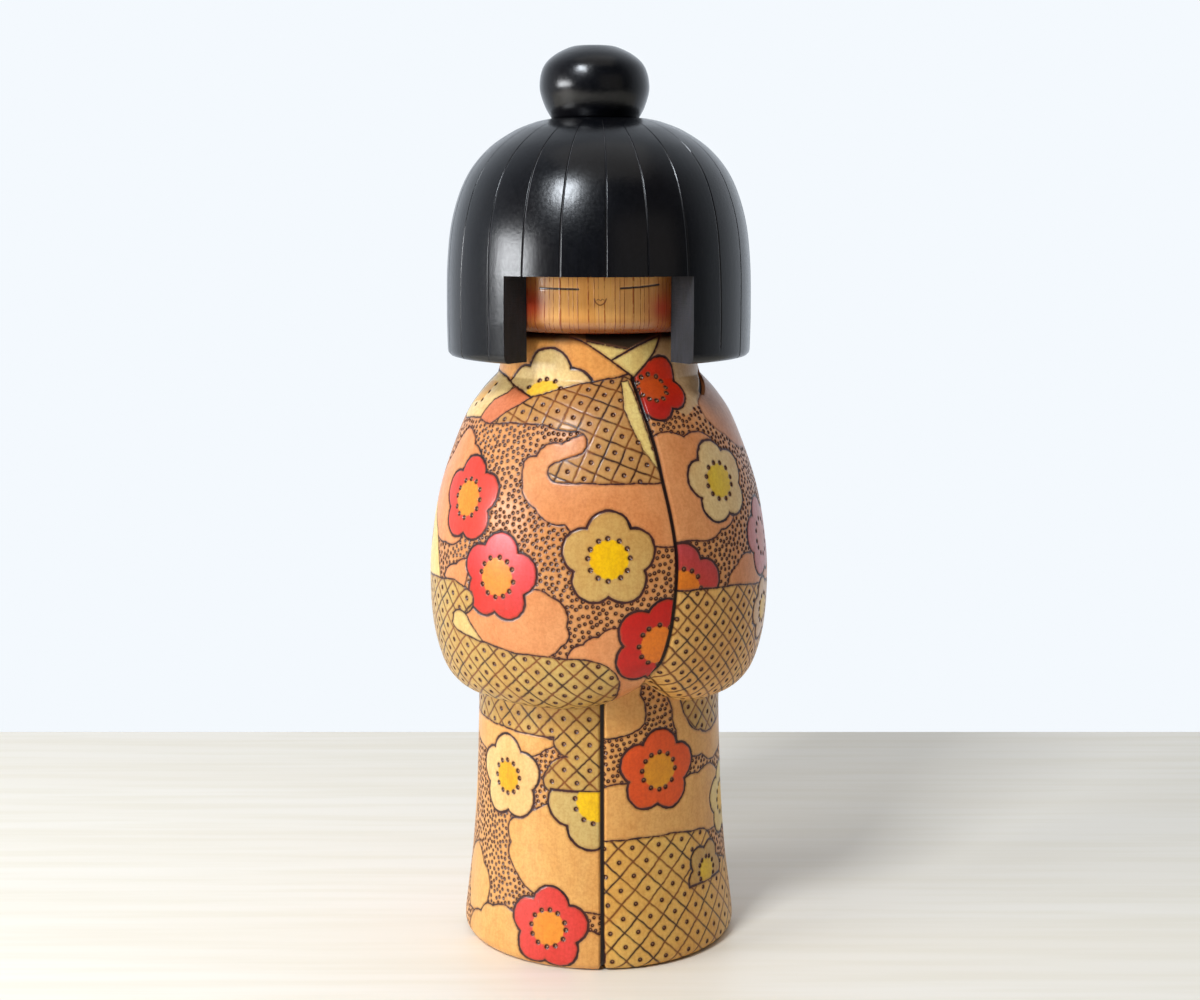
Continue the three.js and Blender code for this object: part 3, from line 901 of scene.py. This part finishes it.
def build_head():
    """The plain face, with a fine grid where the window shows it."""
    angles = np.sort(np.concatenate([np.arange(-44, 44.001, 0.28), wrap(np.arange(47, 313.1, 3.5))]))
    face = arc(HEAD_R - CHIN, HEAD_BOTTOM_Z + CHIN, CHIN, -90, 0) + [(HEAD_R, 232)]
    rings = [(PEG_BORE_R, PEG_BORE_TOP_Z), (PEG_BORE_R, HEAD_BOTTOM_Z), (20, HEAD_BOTTOM_Z),
             *evenly(face, 0.22), (HEAD_R, 240), (HEAD_R, HEAD_TOP_Z - HEAD_BEVEL),
             (HEAD_R - HEAD_BEVEL, HEAD_TOP_Z), (20, HEAD_TOP_Z)]
    radius, angle, height = revolve(rings, angles)
    u = np.radians(angle) * HEAD_R

    def stroke(line, half_width):
        path = np.array(spline([(math.radians(a) * HEAD_R, z) for a, z in line], 24))
        return distance_to_line(u, height, path) - half_width

    eyes = np.minimum(stroke(LEFT_EYE, 0.16), stroke(RIGHT_EYE, 0.16))
    blush = sum(np.exp(-((u - math.radians(a) * HEAD_R) / 4.6) ** 2 - ((height - z) / 5) ** 2)
                for a, z in CHEEKS)
    piece = turned("head", radius - 0.1 * dish(eyes / 0.35), angle, height, (PEG_BORE_TOP_Z, HEAD_TOP_Z))
    store(piece, "ink", eyes)
    store(piece, "rouge", np.minimum(stroke(MOUTH, 0.06), stroke(LIPS, 0)))
    store(piece, "blush", np.clip(blush, 0, 1))
    # Painted shade: the face darkens towards the chin and towards the sides, where the hair shadows it.
    edge = np.maximum(np.clip((216 - height) / 4.5, 0, 1.1), np.clip((np.abs(angle) - 25) / 14, 0, 1))
    store(piece, "edge", edge)
    store(piece, "round", u)
    return piece


head_piece = build_head()

# ---- the topknot

BUN_LEAN = math.radians(1.2)
BUN_OFFSET_X = -1.2
BUN_FOOT_R = 14.4
BUN_FOOT_Z = SEAT_Z + 0.05
BUN_TOP = HEIGHT - BUN_FOOT_Z
BUN_BORE_TOP = 12.3
BUN_COLUMNS = 128


def build_topknot():
    """The bun, turned upright with its foot at height 0 and then leant over and set down."""
    outline = spline([(BUN_FOOT_R, 0), (16.6, 4), (18.2, 10), (17, 16.4), (13.4, 20.4),
                      (7.6, BUN_TOP - 0.4), (3.5, BUN_TOP - 0.08)])
    rings = [(BUN_BORE_R, BUN_BORE_TOP), (BUN_BORE_R, 0), (12, 0), *evenly(outline, 0.8)]
    grids = revolve(rings, around(BUN_COLUMNS))
    corners = with_poles(points_of(*grids), (BUN_BORE_TOP, BUN_TOP))
    corners[:, 0] += BUN_OFFSET_X * MM - corners[:, 2] * math.tan(BUN_LEAN)
    corners[:, 2] += BUN_FOOT_Z * MM
    shape = len(rings), BUN_COLUMNS
    piece = add_mesh("topknot_bun", corners, grid_quads(*shape), close_poles(*shape))
    store(piece, "scribe", np.full(len(corners), FAR))
    return piece


topknot_piece = build_topknot()


# ---- materials

class Nodes:
    """A short way to write the node tree of a new material or world."""

    def __init__(self, block):
        block.use_nodes = True
        self.block = block
        self.tree = block.node_tree

    def add(self, kind, inputs=(), **settings):
        node = self.tree.nodes.new(kind)
        for key, value in settings.items():
            setattr(node, key, value)
        for key, value in dict(inputs).items():
            self.put(node.inputs[key], value)
        return node

    def put(self, socket, value):
        """Links another socket, or sets a value. A colour of three values is sRGB, from 0 to 255."""
        if isinstance(value, bpy.types.NodeSocket):
            self.tree.links.new(value, socket)
        elif socket.type == "RGBA" and len(value) == 3:
            socket.default_value = (*linear(value), 1)
        else:
            socket.default_value = value

    def field(self, name, output="Fac"):
        return self.add("ShaderNodeAttribute", attribute_name=name).outputs[output]

    def math(self, operation, *values):
        return self.add("ShaderNodeMath", enumerate(values), operation=operation).outputs[0]

    def span(self, value, low, high, out_low=0.0, out_high=1.0, kind="SMOOTHSTEP"):
        """A step from low to high."""
        return self.add("ShaderNodeMapRange", {"Value": value, "From Min": low, "From Max": high,
                                               "To Min": out_low, "To Max": out_high},
                        interpolation_type=kind).outputs[0]

    def noise(self, scale, stretch=(1, 1, 1), detail=3, roughness=0.55):
        place = self.add("ShaderNodeTexCoord").outputs["Object"]
        stretched = self.add("ShaderNodeMapping", {"Vector": place, "Scale": stretch}).outputs[0]
        return self.add("ShaderNodeTexNoise", {"Vector": stretched, "Scale": scale, "Detail": detail,
                                               "Roughness": roughness}).outputs["Fac"]

    def mix(self, factor, a, b, blend="MIX"):
        node = self.add("ShaderNodeMix", data_type="RGBA", blend_type=blend)
        for key, value in (("Factor_Float", factor), ("A_Color", a), ("B_Color", b)):
            self.put(next(s for s in node.inputs if s.identifier == key), value)
        return next(s for s in node.outputs if s.identifier == "Result_Color")

    def bump(self, height, distance):
        return self.add("ShaderNodeBump", {"Height": height, "Distance": distance}).outputs[0]

    def finish(self, **inputs):
        """Sets the shader's inputs, named with _ for a space, and returns the material."""
        for key, value in inputs.items():
            self.put(self.tree.nodes["Principled BSDF"].inputs[key.replace("_", " ")], value)
        return self.block


def material_nodes(name):
    return Nodes(bpy.data.materials.new(name))


def kimono_material(name):
    """Stained wood under a thin varnish, burnt along every line and dot."""
    n = material_nodes(name)
    colour = n.field("paint", "Color")
    fibre = n.noise(1, (900, 900, 110), 4, 0.6)
    mottle = n.noise(260)
    # The wood's figure, fibre and pores show through the stain: noise, its low and high, strength and tint.
    for grain, low, high, strength, tint in ((n.noise(1, (70, 70, 22)), 0.35, 0.7, 0.35, (240, 200, 140)),
                                             (fibre, 0.4, 0.75, 0.2, (214, 170, 130)),
                                             (mottle, 0.3, 0.7, 0.25, (220, 190, 160)),
                                             (n.noise(1100, detail=2), 0.4, 0.64, 0.36, (226, 206, 186))):
        colour = n.mix(n.span(grain, low, high, 0, strength), colour, tint, "MULTIPLY")
    tremor = n.math("MULTIPLY", n.math("SUBTRACT", n.noise(700, detail=2), 0.5), 0.5)
    outline = n.math("ADD", n.field("outline"), tremor)
    mesh_line = n.math("ADD", n.field("mesh_line"), n.math("MULTIPLY", tremor, 0.5))
    dot = n.field("dot")
    scorch = n.noise(120, detail=2)
    mesh_colour = n.mix(n.span(scorch, 0.4, 0.62), (124, 68, 24), (54, 25, 17))
    line_colour = n.mix(n.span(scorch, 0.4, 0.7), (66, 30, 24), (34, 14, 18))
    # Burns, later ones on top: what each follows, where it is full and where it ends, strength, colour.
    for mark, full, end, strength, burn in ((outline, -0.1, 0.9, 0.5, (120, 62, 34)),
                                            (mesh_line, 0.3, 0.8, 0.3, mesh_colour),
                                            (mesh_line, 0.15, 0.41, 0.96, mesh_colour),
                                            (dot, 0.8, 1.8, 0.55, (132, 72, 32)),
                                            (dot, 0.84, 1.14, 0.96, (60, 27, 17)),
                                            (dot, 0.14, 0.6, 0.82, (182, 124, 78)),
                                            (outline, -0.12, 0.14, 1, line_colour),
                                            (n.field("groove"), 0.05, 0.4, 1, (30, 12, 9))):
        colour = n.mix(n.span(mark, full, end, strength, 0), colour, burn)
    roughness = n.math("ADD", n.span(fibre, 0.3, 0.7, 0.34, 0.44), n.span(outline, -0.12, 0.14, 0.1, 0))
    roughness = n.math("SUBTRACT", roughness, n.span(dot, 0.9, 1.3, 0.14, 0))
    normal = n.bump(n.math("ADD", fibre, mottle), 0.00004)
    return n.finish(Base_Color=colour, Roughness=roughness, Normal=normal, Specular_IOR_Level=0.28,
                    Coat_Weight=0.2, Coat_Roughness=0.2)


def face_material():
    """Pale wood with close upright grain, inked eyes, rouged cheeks and painted shade at the chin and the
    sides.
    """
    n = material_nodes("face_wood")
    figure = n.noise(1, (90, 90, 20), 2)
    fine = n.noise(1, (1500, 1500, 70))
    dash = n.noise(1, (420, 420, 300), 2)
    bend = n.noise(1, (60, 60, 25), 1)
    across = n.math("ADD", n.field("round"), n.math("MULTIPLY", bend, 1.6))
    uneven = n.math("MULTIPLY", n.math("SINE", n.math("MULTIPLY", across, 0.83)), 0.7)
    stripe = n.math("DIVIDE", n.math("ADD", across, uneven), 2.1)
    stripe = n.math("ABSOLUTE", n.math("SUBTRACT", n.math("FRACT", stripe), 0.5))
    ring = n.math("MULTIPLY", n.span(stripe, 0.02, 0.12, 1, 0), n.span(dash, 0.34, 0.54, 0.25, 0.95))
    wood = n.mix(n.span(figure, 0.3, 0.7), (228, 168, 94), (212, 144, 70))
    wood = n.mix(n.span(fine, 0.4, 0.8, 0, 0.4), wood, (190, 118, 50))
    wood = n.mix(ring, wood, (160, 78, 18))
    # Painted shade at the chin and the sides of the face.
    wood = n.mix(n.math("MULTIPLY", n.field("edge"), 0.9), wood, (132, 66, 38), "MULTIPLY")
    wood = n.mix(n.math("MULTIPLY", n.field("blush"), 0.8), wood, (206, 58, 36))
    wood = n.mix(n.span(n.field("rouge"), 0.04, 0.24, 0.85, 0), wood, (104, 36, 18))
    wood = n.mix(n.span(n.field("ink"), 0.05, 0.3, 0.95, 0), wood, (30, 16, 14))
    normal = n.bump(n.math("ADD", ring, n.math("MULTIPLY", fine, 0.4)), 0.00008)
    return n.finish(Base_Color=wood, Roughness=n.span(fine, 0.3, 0.7, 0.26, 0.36), Normal=normal,
                    Coat_Weight=0.5, Coat_Roughness=0.1)


def dyed_material():
    """Black-dyed wood, waxed to a satin, with scribed lines painted pale in places as a highlight on their
    edges.
    """
    n = material_nodes("dyed_wood")
    fibre = n.noise(1, (700, 700, 120), 4, 0.6)
    pore = n.noise(900, detail=2)
    wood = n.mix(n.span(fibre, 0.35, 0.75), (4, 5, 9), (9, 10, 15))
    wood = n.mix(n.span(n.noise(28, detail=2), 0.4, 0.7, 0, 0.5), wood, (16, 12, 14))
    # The scribed lines are painted pale grey in places, as a painted highlight on their edges, and dark
    # elsewhere.
    line = n.mix(n.span(n.noise(26, detail=1), 0.35, 0.65), (26, 24, 25), (150, 148, 150))
    wood = n.mix(n.span(n.field("scribe"), 0.02, 0.14, 0.8, 0), wood, line)
    return n.finish(Base_Color=wood, Roughness=n.span(pore, 0.3, 0.7, 0.22, 0.27),
                    Normal=n.bump(n.math("ADD", fibre, pore), 0.000026), Specular_IOR_Level=0.45,
                    Coat_Weight=0.05, Coat_Roughness=0.3)


def sawn_material():
    """The dyed wood where the window was sawn out: matt and fibrous."""
    n = material_nodes("sawn_dyed_wood")
    fibre = n.noise(1, (900, 900, 130), 5, 0.7)
    saw = n.noise(1, (200, 200, 1400), 2)
    wood = n.mix(n.span(fibre, 0.3, 0.75), (16, 16, 19), (46, 45, 51))
    normal = n.bump(n.math("ADD", fibre, n.math("MULTIPLY", saw, 0.5)), 0.00025)
    return n.finish(Base_Color=wood, Roughness=n.span(fibre, 0.3, 0.7, 0.7, 0.9), Normal=normal)


def dowel_material():
    """Plain turned beech for the hidden pegs."""
    n = material_nodes("dowel_wood")
    fibre = n.noise(1, (900, 900, 60), 4, 0.6)
    fleck = n.noise(1, (500, 500, 160), 2)
    wood = n.mix(n.span(fibre, 0.3, 0.7), (216, 178, 128), (186, 140, 92))
    wood = n.mix(n.span(fleck, 0.6, 0.7, 0, 0.5), wood, (150, 100, 62))
    roughness = n.span(fibre, 0.3, 0.7, 0.55, 0.7)
    return n.finish(Base_Color=wood, Roughness=roughness, Normal=n.bump(fibre, 0.0001))


def dress(piece, slot_name, body, *materials, stands_for=None):
    """Gives a piece its materials and its body, and hides the CAD node that it stands for. The slot name is
    not used.
    """
    for material in materials:
        piece.data.materials.append(material)
    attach(piece, body)
    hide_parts(stands_for)


kimono = kimono_material("kimono_wood")
dyed = dyed_material()
dress(jacket_piece, "kimono_wood", "body", kimono, stands_for="jacket_block")
dress(skirt_piece, "kimono_wood", "body", kimono, stands_for="skirt_block")
dress(head_piece, "face_wood", "head", face_material(), stands_for="head_block")
dress(hair_piece, "dyed_wood", "head", dyed, sawn_material(), stands_for="hair_cap")
dress(topknot_piece, "dyed_wood", "head", dyed, stands_for="topknot")
for face in window_faces:
    hair_piece.data.polygons[face].material_index = 1

dowel = dowel_material()
for node in ("waist_dowel", "neck_peg", "topknot_dowel"):
    for material_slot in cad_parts[node].material_slots:
        material_slot.link = "OBJECT"
        material_slot.material = dowel

# ---- floor, light and camera

CAMERA_LENS = 55.83
CAMERA_X, CAMERA_Y, CAMERA_Z = 0.4, -630.8, 254.3
CAMERA_TILT = 9.3
AIM_Z = 150  # the middle of the doll, which the lights point at
TABLE_LEFT, TABLE_RIGHT, TABLE_NEAR, TABLE_FAR, TABLE_THICKNESS = -1.0, 1.0, -0.6, 0.233, 0.025  # metres
ROOM = (0.84, 0.91, 1, 1)
ROOM_FRONT, ROOM_BACK = 0.05, 1.1  # how bright the room is before the doll and behind it
WALL = (244, 249, 254)


def add_table():
    """A pale table top whose far edge is a little way behind the doll."""
    corners = [(x, y, z) for z in (-TABLE_THICKNESS, 0)
               for x, y in ((TABLE_LEFT, TABLE_NEAR), (TABLE_RIGHT, TABLE_NEAR),
                            (TABLE_RIGHT, TABLE_FAR), (TABLE_LEFT, TABLE_FAR))]
    sides = [(0, 3, 2, 1), (4, 5, 6, 7), (0, 1, 5, 4), (1, 2, 6, 5), (2, 3, 7, 6), (3, 0, 4, 7)]
    table = add_mesh("table", corners, sides)
    n = material_nodes("table")
    grain = n.noise(1, (7, 150, 1))
    broad = n.noise(1, (1.5, 22, 1), 2)
    tone = n.mix(n.span(grain, 0.35, 0.7), (245, 237, 223), (239, 230, 212))
    tone = n.mix(n.span(broad, 0.35, 0.7, 0, 0.4), tone, (237, 226, 206))
    table.data.materials.append(n.finish(Base_Color=tone, Roughness=0.45))


def add_light(name, azimuth, elevation, distance, width, height, power, colour):
    """A soft box aimed at the middle of the doll. Its distance and size are in metres."""
    light = bpy.data.lights.new(name, "AREA")
    light.shape = "RECTANGLE"
    light.size, light.size_y = width, height
    light.energy = power
    light.color = colour
    lamp = bpy.data.objects.new(name, light)
    a, e = math.radians(azimuth), math.radians(elevation)
    way = np.array([math.sin(a) * math.cos(e), -math.cos(a) * math.cos(e), math.sin(e)])
    lamp.location = np.array([0, 0, AIM_Z * MM]) + distance * way
    lamp.rotation_euler = (math.radians(90) - e, 0, a)
    bpy.context.scene.collection.objects.link(lamp)


def add_camera():
    data = bpy.data.cameras.new("camera")
    data.lens = CAMERA_LENS
    data.clip_start = 0.01
    camera = bpy.data.objects.new("camera", data)
    camera.location = (CAMERA_X * MM, CAMERA_Y * MM, CAMERA_Z * MM)
    camera.rotation_euler = (math.radians(90 - CAMERA_TILT), 0, 0)
    bpy.context.scene.collection.objects.link(camera)
    bpy.context.scene.camera = camera


def add_world():
    """A room that is bright behind the doll and dim before it, seen as a pale wall."""
    n = Nodes(bpy.data.worlds.new("studio"))
    way = n.add("ShaderNodeTexCoord").outputs["Generated"]
    back = n.add("ShaderNodeSeparateXYZ", {0: way}).outputs["Y"]
    room = n.tree.nodes["Background"]
    n.put(room.inputs["Color"], ROOM)
    n.put(room.inputs["Strength"], n.span(back, -0.3, 0.9, ROOM_FRONT, ROOM_BACK, "LINEAR"))
    wall = n.add("ShaderNodeBackground", {"Color": WALL})
    seen = n.add("ShaderNodeLightPath").outputs["Is Camera Ray"]
    mix = n.add("ShaderNodeMixShader", {0: seen, 1: room.outputs[0], 2: wall.outputs[0]})
    n.put(n.tree.nodes["World Output"].inputs["Surface"], mix.outputs[0])
    bpy.context.scene.world = n.block


add_table()
add_light("window", -66, 9, 1.1, 0.55, 0.24, 9, (0.94, 0.97, 1))
add_light("lamp", -31, 44, 1.2, 0.28, 0.28, 11, (0.87, 0.93, 1))
add_light("ceiling", 15, 78, 1.8, 1.6, 1.6, 3.5, (1, 0.94, 0.86))
add_light("fill", 35, 10, 1.8, 1.6, 1.2, 1.2, (1, 0.9, 0.78))
add_camera()
add_world()
bpy.context.scene.view_settings.view_transform = "Standard"
